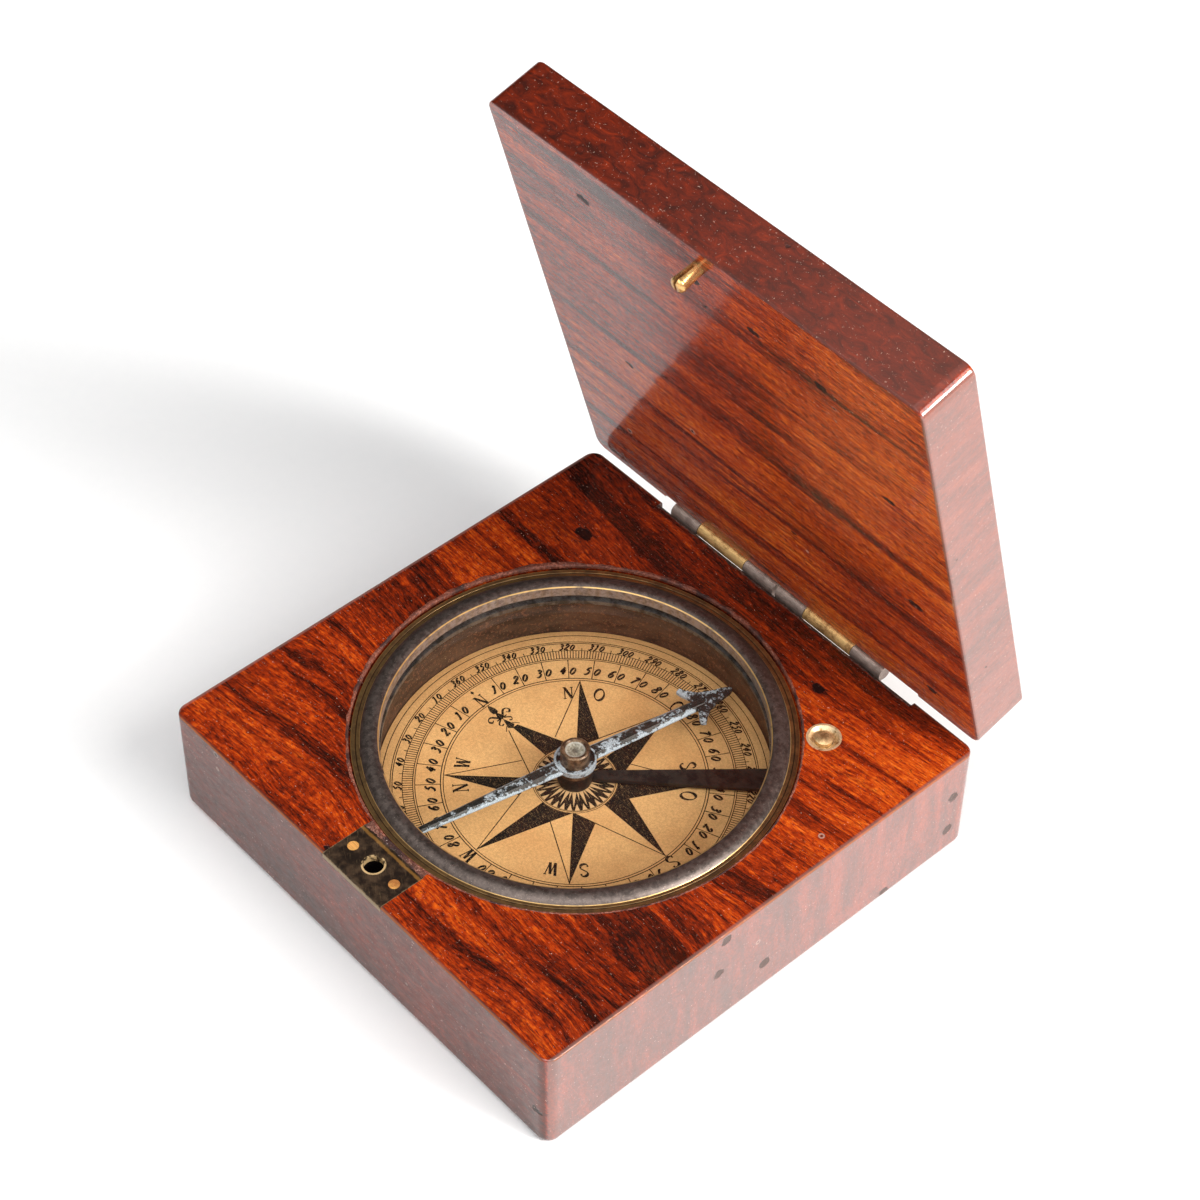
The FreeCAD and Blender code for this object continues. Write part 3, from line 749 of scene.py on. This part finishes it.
class Press:
    """Draws ink on the card, each layer a little higher than the one under it."""

    def __init__(self):
        self.sheet = Sheet()
        self.layer = 0

    def at(self, x, y):
        lift = (INK_LIFT + self.layer * INK_STEP) * MM
        return Vector((dial.x + x * MM, dial.y + y * MM, card_top + lift))

    def polar(self, radius, degrees):
        turn = math.radians(degrees)
        return radius * math.cos(turn), radius * math.sin(turn)

    def fill(self, outline):
        area = sum(a[0] * b[1] - b[0] * a[1] for a, b in zip(outline, outline[1:] + outline[:1]))
        if area < 0:
            outline = outline[::-1]
        self.sheet.face([self.at(*point) for point in outline])

    def line(self, start, end, width):
        (ax, ay), (bx, by) = start, end
        length = math.hypot(bx - ax, by - ay)
        nx, ny = (ay - by) / length * width / 2, (bx - ax) / length * width / 2
        self.fill([(ax + nx, ay + ny), (ax - nx, ay - ny), (bx - nx, by - ny), (bx + nx, by + ny)])

    def ring(self, radius, width, pieces=288):
        for index in range(pieces):
            start, end = 360 * index / pieces, 360 * (index + 1) / pieces
            near, far = radius - width / 2, radius + width / 2
            self.sector(near, far, start, end)

    def sector(self, near, far, start, end):
        spots = ((near, start), (far, start), (far, end), (near, end))
        self.fill([self.polar(radius, turn) for radius, turn in spots])

    def tick(self, degrees, near, far, width):
        self.line(self.polar(near, degrees), self.polar(far, degrees), width)

    def stroke(self, points, thin, thick, nib):
        """A pen stroke through the points, wide or narrow by its direction."""
        path = smoothed(points) if len(points) > 2 else points
        sides = []
        for index, (x, y) in enumerate(path):
            before, after = path[max(index - 1, 0)], path[min(index + 1, len(path) - 1)]
            heading = math.atan2(after[1] - before[1], after[0] - before[0])
            half = (thin + (thick - thin) * abs(math.sin(heading - nib - math.pi / 2)) ** 1.5) / 2
            nx, ny = -math.sin(heading) * half, math.cos(heading) * half
            sides.append(((x + nx, y + ny), (x - nx, y - ny)))
        for (a, b), (c, d) in zip(sides, sides[1:]):
            self.fill([a, b, d, c])

    def glyph(self, strokes, radius, degrees, height, aside, thin, thick, slant=0.0):
        """A sign whose top points outwards, its middle at the given place."""
        turn = math.radians(degrees)
        out, right = (math.cos(turn), math.sin(turn)), (math.sin(turn), -math.cos(turn))
        for points in strokes:
            drawn = []
            for x, y in points:
                across = (x - 0.3 + slant * (y - 0.5)) * height + aside
                up = radius + (y - 0.5) * height
                drawn.append((out[0] * up + right[0] * across, out[1] * up + right[1] * across))
            self.stroke(drawn, thin * height, thick * height, turn - PEN_ANGLE)


def smoothed(points):
    """A Catmull-Rom curve through the points."""
    ends = [points[0]] + list(points) + [points[-1]]
    if points[0] == points[-1]:
        ends = [points[-2]] + list(points) + [points[1]]
    path = []
    for a, b, c, d in zip(ends, ends[1:], ends[2:], ends[3:]):
        for step in range(CURVE_STEPS):
            t = step / CURVE_STEPS
            path.append(tuple(
                0.5 * (2 * q + (r - p) * t + (2 * p - 5 * q + 4 * r - s) * t * t
                       + (3 * q - p - 3 * r + s) * t**3)
                for p, q, r, s in zip(a, b, c, d)
            ))
    return path + [points[-1]]


def oval(x, y, across, up, count=12):
    turns = [2 * math.pi * index / count for index in range(count + 1)]
    path = [(x + across * math.sin(turn), y + up * math.cos(turn)) for turn in turns]
    return path[:-1] + [path[0]]


# Pen strokes of each sign, in a box 0.6 wide and 1 high.
SIX = [(0.5, 0.92), (0.26, 0.86), (0.08, 0.5), (0.1, 0.14), (0.28, 0), (0.46, 0.16), (0.44, 0.44),
       (0.26, 0.54), (0.12, 0.36)]
DIGITS = {
    "0": [oval(0.30, 0.42, 0.22, 0.42)],
    "1": [[(0.15, 0.78), (0.28, 0.98), (0.28, 0.2), (0.2, 0), (0.05, 0.02)]],
    "2": [[(0.08, 0.74), (0.14, 0.94), (0.32, 1), (0.47, 0.86), (0.42, 0.62), (0.2, 0.3), (0.04, 0.04)],
          [(0.04, 0.06), (0.25, 0.12), (0.38, 0), (0.54, 0.1)]],
    "3": [[(0.1, 0.86), (0.26, 1), (0.44, 0.88), (0.4, 0.66), (0.22, 0.56)],
          [(0.22, 0.56), (0.46, 0.48), (0.48, 0.18), (0.26, 0), (0.06, 0.1)]],
    "4": [[(0.34, 0.98), (0.02, 0.36)], [(0.02, 0.36), (0.56, 0.36)], [(0.42, 0.7), (0.34, 0)]],
    "5": [[(0.48, 0.96), (0.2, 0.94)], [(0.2, 0.94), (0.14, 0.58)],
          [(0.14, 0.58), (0.36, 0.62), (0.48, 0.38), (0.38, 0.08), (0.16, 0), (0.04, 0.1)]],
    "6": [SIX],
    "7": [[(0.08, 0.84), (0.2, 0.96), (0.54, 0.94)], [(0.54, 0.94), (0.3, 0.5), (0.18, 0)]],
    "8": [[(0.28, 0.54), (0.1, 0.72), (0.14, 0.94), (0.3, 1), (0.46, 0.9), (0.42, 0.7), (0.28, 0.54),
           (0.08, 0.36), (0.06, 0.12), (0.26, 0), (0.48, 0.14), (0.46, 0.38), (0.28, 0.54)]],
    "9": [[(0.6 - x, 1 - y) for x, y in SIX]],
}
LETTERS = {
    "N": [[(0.06, 0), (0.06, 1)], [(0.06, 1), (0.54, 0)], [(0.54, 0), (0.54, 1)],
          [(-0.05, 0), (0.17, 0)], [(-0.07, 1), (0.10, 1)], [(0.43, 1), (0.65, 1)]],
    "O": [oval(0.30, 0.5, 0.32, 0.5, 20)],
    "S": [[(0.52, 0.78), (0.48, 0.94), (0.30, 1), (0.12, 0.9), (0.10, 0.70), (0.30, 0.52), (0.52, 0.34),
           (0.50, 0.10), (0.30, 0), (0.10, 0.06), (0.06, 0.24)]],
    "W": [[(-0.02, 1), (0.14, 0)], [(0.14, 0), (0.32, 0.94)], [(0.32, 0.94), (0.48, 0)],
          [(0.48, 0), (0.66, 1)], [(-0.12, 1), (0.08, 1)], [(0.56, 1), (0.74, 1)]],
}
THICK_STROKES = {"N": (1,), "W": (0, 2)}
DIGIT_SLANT = 0.40
HAIRLINE = 0.075


def print_number(press, text, radius, degrees, height, gap):
    for index, digit in enumerate(text):
        aside = (index - (len(text) - 1) / 2) * gap
        press.glyph(DIGITS[digit], radius, degrees, height, aside, *DIGIT_PEN, DIGIT_SLANT)


def print_letter(press, letter, radius, degrees, height):
    """A capital with the thick and thin strokes of an engraved roman letter."""
    strokes = LETTERS[letter]
    heavy = THICK_STROKES.get(letter)
    for index, points in enumerate(strokes):
        if heavy is None:
            thin, thick = HAIRLINE, 0.21
        else:
            thin = thick = 0.19 if index in heavy else HAIRLINE
        press.glyph([points], radius, degrees, height, 0.0, thin, thick)


def print_scales(press):
    press.layer = 0
    for radius, width in SCALE_RINGS:
        press.ring(radius, width)
    press.layer = 1
    for degree in range(360):
        press.tick(NORTH + degree, *DEGREES_R, 0.135)
    for step in range(36):
        turn = NORTH + 10 * step
        press.tick(turn + 5, *FIVES_R, 0.13)
        if step % 9:
            for near, far, width in INNER_TENS:
                press.tick(turn, near, far, width)
    press.layer = 2
    for step in range(1, 37):
        print_number(press, str(10 * step), OUTER_NUMBERS_R, NORTH + 10 * step, 1.15, 0.86)
    shift = math.degrees(DIGIT_GAP / 21.7)
    for quarter in range(4):
        start = NORTH + 90 * quarter
        for step in range(1, 9):
            count = step if quarter % 2 == 0 else 9 - step
            turn = start + 10 * step
            for digit, side in ((str(count), 1), ("0", -1)):
                place = turn + side * shift
                press.glyph(DIGITS[digit], INNER_NUMBERS_R, place, 1.45, 0.0, *DIGIT_PEN, DIGIT_SLANT)


def print_names(press):
    for letter, turn in CARDINALS:
        print_letter(press, letter, CARDINALS_R, NORTH + turn, LETTER_HEIGHT)
    for letter, turn in WINDS:
        print_letter(press, letter, WINDS_R, turn, LETTER_HEIGHT)
    x, y = press.polar(23.3, NORTH)
    press.fill([(x - 0.42, y), (x, y - 0.26), (x + 0.42, y), (x, y + 0.26)])


def print_star(press):
    """Eight points, each with one inked half and one half outlined; every other point is cardinal."""
    press.layer = 1
    foot_r = MEDAL_R + 0.02
    for point in range(8):
        turn = NORTH + 45 * point
        tip = press.polar(NORTH_TIP if point == 0 else STAR_R, turn)
        dark = 1 if math.cos(math.radians(turn + 90 - ENGRAVED_SIDE)) > 0 else -1
        for side in (1, -1):
            if point % 2 == 0:
                inner = [press.polar(foot_r, turn + side * 43.5 * step / 8) for step in range(9)]
            else:
                inner = [press.polar(foot_r, turn), press.polar(NOTCH_R, turn + side * 22.5)]
            shoulder = tip
            if point == 0:
                # The crossbar cuts the north point off, so its end is 0.9 mm wide on each side.
                heading = math.radians(turn)
                shoulder = (tip[0] - side * math.sin(heading) * 0.9, tip[1] + side * math.cos(heading) * 0.9)
            if side == dark:
                for a, b in zip(inner, inner[1:]):
                    press.fill([tip, a, b])
                if point == 0:
                    press.fill([tip, inner[-1], shoulder])
            else:
                press.line(shoulder, inner[-1], 0.15)
        press.line(tip, press.polar(MEDAL_R, turn), 0.12)


def print_lily(press):
    """The north point's crossbar and fleur-de-lis, side +1 towards the west."""
    press.layer = 2
    out_x, out_y = press.polar(1.0, NORTH)

    def local(out, across):
        return out * out_x - across * out_y, out * out_y + across * out_x

    def outline(points):
        mirrored = [(out, -across) for out, across in reversed(points[1:-1])]
        press.fill([local(*point) for point in points + mirrored])

    outline([(17.55, 0.0), (17.9, 0.48), (18.6, 0.52), (19.3, 0.26), (19.75, 0.0)])
    outline([(16.1, 0.0), (16.5, 0.30), (17.1, 0.42), (17.6, 0.20), (17.8, 0.0)])
    outline([(13.75, 0.0), (14.3, 0.62), (15.0, 0.42), (15.9, 0.12), (16.2, 0.0)])
    press.line(local(16.45, -1.0), local(16.45, 1.0), 0.22)
    petal = [(16.5, 0.25), (17.1, 0.72), (17.6, 1.25), (17.5, 1.80), (17.0, 2.0), (16.65, 1.65), (16.95, 1.3)]
    root = [(16.35, 0.3), (16.0, 0.85), (15.6, 1.2), (15.2, 0.95), (15.4, 0.6)]
    north = math.radians(NORTH)
    for side in (1, -1):
        press.stroke([local(out, side * across) for out, across in petal], 0.16, 0.36, north + side * 0.8)
        press.stroke([local(out, side * across) for out, across in root], 0.13, 0.26, north - side * 0.8)
        press.line(local(13.9, side * 1.35), local(14.7, side * 0.55), 0.14)


def print_ray(press, turn, half, root_r, tip_r):
    """A triangle from root_r, half degrees wide on each side, to a tip at tip_r."""
    press.fill([press.polar(root_r, turn - half), press.polar(root_r, turn + half), press.polar(tip_r, turn)])


def print_medal(press, lights):
    """The sunburst round the pivot: a black disc, 16 long and 16 short pale rays, and 32 at its rim."""
    press.layer = 1
    press.ring(6.45, 0.10, 144)
    press.ring(6.18, 0.12, 144)
    for index in range(96):
        start, end = 3.75 * index, 3.75 * (index + 1)
        press.sector(1.9, 6.05, start, end)
    lights.layer = 3
    for index in range(16):
        turn = NORTH + 22.5 * index
        print_ray(lights, turn, 7.2, 2.5, 5.35)
        print_ray(lights, turn + 11.25, 3.4, 2.5, 4.3)
    for index in range(32):
        print_ray(lights, NORTH + 11.25 * index + 5.6, 3.6, 6.0, 4.75)


def print_dial():
    press, lights = Press(), Press()
    print_scales(press)
    print_names(press)
    print_star(press)
    print_lily(press)
    print_medal(press, lights)
    press.sheet.piece("dial_print", printing_ink(), "base", "dial_paper")
    lights.sheet.piece("dial_print_lights", paper_light(), "base", "dial_paper")


# ---- broken wood at the cut edges


def rough_strip(name, rows, closed, colours):
    """A strip of splintered wood from rows of points in millimetres; closed joins its ends."""
    sheet = Sheet()
    width = len(rows[0])
    sheet.points = [Vector(point) * MM for row in rows for point in row]
    for index in range(len(rows) if closed else len(rows) - 1):
        following = (index + 1) % len(rows)
        for column in range(width - 1):
            a, b = index * width + column, following * width + column
            sheet.faces.append([a, a + 1, b + 1, b])
    made = sheet.piece(name, splintered_wood(*colours), "base", "hardwood")
    made.data.shade_smooth()


def ragged(rng, count, low, high, smooth_by):
    """A closed row of random numbers from low to high, smoothed a few times."""
    values = [rng.random() for _ in range(count)]
    for _ in range(smooth_by):
        values = [(values[i - 1] + 2 * values[i] + values[(i + 1) % count]) / 4 for i in range(count)]
    lowest, highest = min(values), max(values)
    return [low + (high - low) * (value - lowest) / (highest - lowest) for value in values]


# Colours of splintered wood: the material's name, then pale, red and dark.
WELL_WOOD = ("well_splinters", (0.38, 0.15, 0.095), (0.17, 0.040, 0.020), (0.034, 0.010, 0.008))
LATCH_WOOD = ("latch_splinters", (0.36, 0.18, 0.12), (0.13, 0.040, 0.024), (0.028, 0.010, 0.008))
# The hinge's wood is darkened, partly as painted shade under the barrels.
HINGE_WOOD = ("hinge_splinters", (0.20, 0.09, 0.06), (0.05, 0.018, 0.012), (0.012, 0.006, 0.005))
CHEWED_SIDE = math.radians(155)


def well_edge():
    """The turned well's lip, chewed by the tool and filled with old wax: a ragged ring."""
    rng = random.Random(11)
    count = 720
    coarse = ragged(rng, count, 0.0, 1.0, 22)
    medium = ragged(rng, count, -1.0, 1.0, 4)
    fine = ragged(rng, count, -1.0, 1.0, 1)
    rows = []
    for index in range(count):
        turn = 2 * math.pi * index / count
        toward = 0.5 + 0.5 * math.cos(turn - CHEWED_SIDE)
        wide = 0.22 + 0.70 * coarse[index] * (0.12 + 0.88 * toward**2)
        wide += 0.12 * medium[index] * (0.4 + toward)
        outer = WELL_R + max(wide, 0.12) + 0.07 * fine[index]
        inner = WELL_R - 0.12 + 0.06 * fine[(index * 7) % count]
        crest = inner + (outer - inner) * (0.45 + 0.12 * medium[(index * 3) % count])
        lift = 0.045 + 0.03 * fine[(index * 3) % count] + 0.02 * medium[index]
        profile = ((outer, -0.02), (outer - 0.06, 0.012), (crest, lift), (inner + 0.08, lift * 0.4),
                   (inner, -0.10), (inner + 0.02, -0.55))
        rows.append([
            (DIAL_MM[0] + r * math.cos(turn), DIAL_MM[1] + r * math.sin(turn), SEAM_Z + z) for r, z in profile
        ])
    rough_strip("well_edge", rows, True, WELL_WOOD)


def latch_sliver():
    """The torn wood left between the latch plate and the compass flange."""
    count = 90
    lumps = ragged(random.Random(5), count, 0.0, 1.0, 2)
    left, right, back = latch_low.x / MM + 0.15, latch_high.x / MM - 0.15, latch_high.y / MM
    rows = []
    for index in range(count):
        x = left + (right - left) * index / (count - 1)
        flange_y = DIAL_MM[1] - math.sqrt(WELL_R**2 - (x - DIAL_MM[0]) ** 2)
        near, far = back - 0.10 - 0.25 * lumps[index], max(flange_y, back) + 0.05
        lift = 0.03 + 0.05 * lumps[(index * 3) % count]
        spots = ((near, -0.03), (near + 0.08, lift), ((near + far) / 2, lift * 0.7), (far, -0.01))
        rows.append([(x, y, SEAM_Z + z) for y, z in spots])
    rough_strip("latch_sliver", rows, False, LATCH_WOOD)


def hinge_lip():
    """The hinge groove's front edge on the base: dark, partly with its own dirt and partly painted shade
    under the barrels, bruised and a little uneven.
    """
    count = 240
    lumps = ragged(random.Random(23), count, 0.0, 1.0, 2)
    left, right = GROOVE_X
    edge_y = hinge.y / MM - GROOVE_R
    rows = []
    for index in range(count):
        x = left + (right - left) * index / (count - 1)
        wide = 0.22 + 0.38 * lumps[index]
        lift = 0.02 + 0.03 * lumps[(index * 7) % count]
        spots = ((-wide, -0.01), (-wide * 0.5, lift), (0.02, lift * 0.4), (0.08, -0.30))
        rows.append([(x, edge_y + y, SEAM_Z + z) for y, z in spots])
    rough_strip("hinge_lip", rows, False, HINGE_WOOD)


paint_frame()
smooth_round_faces()
print_dial()
well_edge()
latch_sliver()
hinge_lip()


# ---- floor, light and camera


FLOOR_REACH = 3.0
FLOOR_GAP = 0.05 * MM
LIGHT_TARGET = Vector((0.0, 0.0, 0.02))
WARM = (1.0, 0.985, 0.96)
WHITE = (1.0, 1.0, 1.0)

# Soft lights: name, azimuth from +X and elevation in degrees, distance and width in metres, watts.
LIGHTS = [
    ("low_light", 20.0, 29.0, 2.2, 0.60, 32.0, WARM),
    ("key_light", 12.0, 44.0, 2.2, 1.05, 27.5, WARM),
    ("front_light", -55.0, 60.0, 1.2, 0.8, 5.0, WHITE),
    ("high_light", 215.0, 72.0, 1.6, 1.0, 3.2, WHITE),
]


def make_floor():
    mesh = bpy.data.meshes.new("floor")
    corners = ((-1, -1), (1, -1), (1, 1), (-1, 1))
    level = base_low.z - FLOOR_GAP
    mesh.from_pydata([(x * FLOOR_REACH, y * FLOOR_REACH, level) for x, y in corners], [], [(0, 1, 2, 3)])
    mesh.materials.append(white_floor())
    add_object("floor", mesh)


def softbox(name, azimuth, elevation, distance, width, power, colour):
    """A round soft light that faces the case and isn't seen by the camera."""
    lamp = bpy.data.lights.new(name, "AREA")
    lamp.shape = "DISK"
    lamp.size = width
    lamp.energy = power
    lamp.color = colour
    made = add_object(name, lamp)
    made.visible_camera = False
    around, above = math.radians(azimuth), math.radians(elevation)
    level = math.cos(above)
    direction = Vector((math.cos(around) * level, math.sin(around) * level, math.sin(above)))
    made.location = LIGHT_TARGET + direction * distance
    made.rotation_euler = (LIGHT_TARGET - made.location).to_track_quat("-Z", "Y").to_euler()


def make_world():
    """A dim studio, brighter above the camera's side, that the camera itself sees as plain white."""
    world = bpy.data.worlds.new("studio")
    bpy.context.scene.world = world
    g = Graph(world)
    bright_side = Vector((0.50, -0.55, 0.67)).normalized()
    facing = g.vector("DOT_PRODUCT", g.node("TexCoord", {}).outputs["Generated"], bright_side)
    seen = g.node("LightPath", {}).outputs["Is Camera Ray"]
    strength = g.most(seen, g.step(facing, 0.10, 1.0, 0.012, 0.92))
    light = g.node("Background", {"Color": WHITE, "Strength": strength})
    g.node("OutputWorld", {"Surface": light.outputs[0]})


# The camera solved from the photograph: metres, degrees and millimetres of lens.
CAMERA_AT = Vector((0.223624, -0.198679, 0.373236))
CAMERA_AZIMUTH = 47.6639
CAMERA_ELEVATION = 47.3218
CAMERA_ROLL = 0.7417
CAMERA_LENS = 94.1785


def make_camera():
    azimuth, elevation, roll = (math.radians(v) for v in (CAMERA_AZIMUTH, CAMERA_ELEVATION, CAMERA_ROLL))
    level = math.cos(elevation)
    back = Vector((math.sin(azimuth) * level, -math.cos(azimuth) * level, math.sin(elevation)))
    sideways = (-back).cross(Vector((0, 0, 1))).normalized()
    above = sideways.cross(-back)
    right = math.cos(roll) * sideways + math.sin(roll) * above
    up = -math.sin(roll) * sideways + math.cos(roll) * above
    data = bpy.data.cameras.new("camera")
    data.lens = CAMERA_LENS
    data.sensor_width = 36.0
    data.clip_start = 0.01
    camera = add_object("camera", data)
    turn = Matrix((right, up, back)).transposed().to_4x4()
    camera.matrix_world = Matrix.Translation(CAMERA_AT) @ turn
    bpy.context.scene.camera = camera


make_floor()
make_world()
for light_settings in LIGHTS:
    softbox(*light_settings)
make_camera()
bpy.context.scene.view_settings.view_transform = "Standard"
